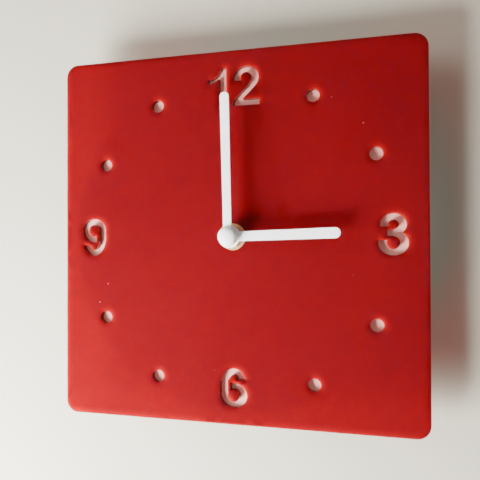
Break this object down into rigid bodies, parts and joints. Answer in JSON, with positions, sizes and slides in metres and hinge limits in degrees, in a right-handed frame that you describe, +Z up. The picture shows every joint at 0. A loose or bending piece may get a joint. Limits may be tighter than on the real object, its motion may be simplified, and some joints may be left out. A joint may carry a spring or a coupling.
{
  "type": "wall clock",
  "caption": "Square wall clock: a red acrylic plate with cut-out numerals and dots over a white disc, baton hands and a battery movement that hangs by a keyhole strap.",
  "frame": {"origin": "on the shaft's axis, in the plane of the movement's back, which lies on the wall", "axes": "+Z up, +X to the right as the dial is read, +Y out of the back, towards the wall"},
  "size_m": [0.2, 0.0372, 0.2],
  "materials": {
    "red_acrylic": "glossy, slightly see-through",
    "white_acrylic": "satin",
    "black_rubber": "matte",
    "brass": "turned",
    "white_plastic": "smooth gloss",
    "black_plastic": "fine moulded texture",
    "cover_plastic": "fine moulded texture",
    "strap_steel": "zinc plated",
    "screw_steel": "plated",
    "cream_plastic": "moulded",
    "gear_plastic": "moulded",
    "arbor_steel": "ground",
    "knob_plastic": "moulded, knurled",
    "magnet": "sintered",
    "lamination": "stamped",
    "bobbin_plastic": "moulded",
    "copper_wire": "lacquered wire",
    "board": "solder mask",
    "crystal_can": "drawn can",
    "black_resin": "poured resin",
    "cell_sleeve": "printed sleeve with a copper band",
    "contact_steel": "nickel plated"
  },
  "bodies": {
    "clock_body": {"face_plate": "red_acrylic", "backing_disc": "white_acrylic", "rubber_gasket": "black_rubber", "brass_washer": "brass", "hex_nut": "brass", "threaded_bush": "brass", "case_front": "black_plastic", "rear_cover": "cover_plastic", "hanger": "strap_steel", "hanger_screw": "screw_steel", "train_plate": "cream_plastic", "stator": "lamination", "coil_core": "lamination", "coil_bobbin": "bobbin_plastic", "coil_winding": "copper_wire", "circuit_board": "board", "quartz_crystal": "crystal_can", "chip_blob": "black_resin", "positive_contact": "contact_steel", "negative_spring": "contact_steel"},
    "minute_group": {"minute_hand": "white_plastic", "hand_cap": "white_plastic", "cannon_pinion": "brass"},
    "hour_group": {"hour_hand": "white_plastic", "hour_wheel": "gear_plastic"},
    "setting_group": {"minute_wheel": "gear_plastic", "minute_arbor": "arbor_steel", "setting_knob": "knob_plastic"},
    "seconds_group": {"seconds_wheel": "gear_plastic", "seconds_arbor": "arbor_steel"},
    "third_group": {"third_wheel": "gear_plastic", "third_arbor": "arbor_steel"},
    "centre_group": {"centre_wheel": "brass"},
    "fifth_group": {"fifth_wheel": "gear_plastic", "fifth_arbor": "arbor_steel"},
    "rotor_group": {"rotor_pinion": "arbor_steel", "rotor_magnet": "magnet"},
    "battery_group": {"battery": "cell_sleeve"}
  },
  "joints": [
    {"name": "minute_turn", "type": "hinge", "parent": "clock_body", "child": "minute_group", "pos_m": [0, -0.01, 0], "axis": [0, 1, 0], "continuous": true},
    {"name": "hour_turn", "type": "hinge", "parent": "clock_body", "child": "hour_group", "pos_m": [0, -0.01, 0], "axis": [0, 1, 0], "continuous": true},
    {"name": "setting_turn", "type": "hinge", "parent": "clock_body", "child": "setting_group", "pos_m": [0.0096, -0.01, 0], "axis": [0, 1, 0], "continuous": true},
    {"name": "seconds_turn", "type": "hinge", "parent": "clock_body", "child": "seconds_group", "pos_m": [0, -0.01, 0], "axis": [0, 1, 0], "continuous": true},
    {"name": "third_turn", "type": "hinge", "parent": "clock_body", "child": "third_group", "pos_m": [-0.00779, -0.01, 0.0045], "axis": [0, 1, 0], "continuous": true},
    {"name": "centre_turn", "type": "hinge", "parent": "clock_body", "child": "centre_group", "pos_m": [0, -0.01, 0], "axis": [0, 1, 0], "continuous": true},
    {"name": "fifth_turn", "type": "hinge", "parent": "clock_body", "child": "fifth_group", "pos_m": [0.00202, -0.01, 0.00753], "axis": [0, 1, 0], "continuous": true},
    {"name": "rotor_turn", "type": "hinge", "parent": "clock_body", "child": "rotor_group", "pos_m": [0.00552, -0.01, 0.0136], "axis": [0, 1, 0], "continuous": true},
    {"name": "battery_out", "type": "slide", "parent": "clock_body", "child": "battery_group", "axis": [0, 1, 0], "range_m": [0, 0.02]}
  ],
  "couplings": [
    {"joint": "hour_turn", "follows": "minute_turn", "ratio": 0.083333},
    {"joint": "setting_turn", "follows": "minute_turn", "ratio": -0.33333},
    {"joint": "third_turn", "follows": "seconds_turn", "ratio": -0.13333},
    {"joint": "centre_turn", "follows": "seconds_turn", "ratio": 0.016667},
    {"joint": "fifth_turn", "follows": "seconds_turn", "ratio": -5},
    {"joint": "rotor_turn", "follows": "seconds_turn", "ratio": 30}
  ]
}
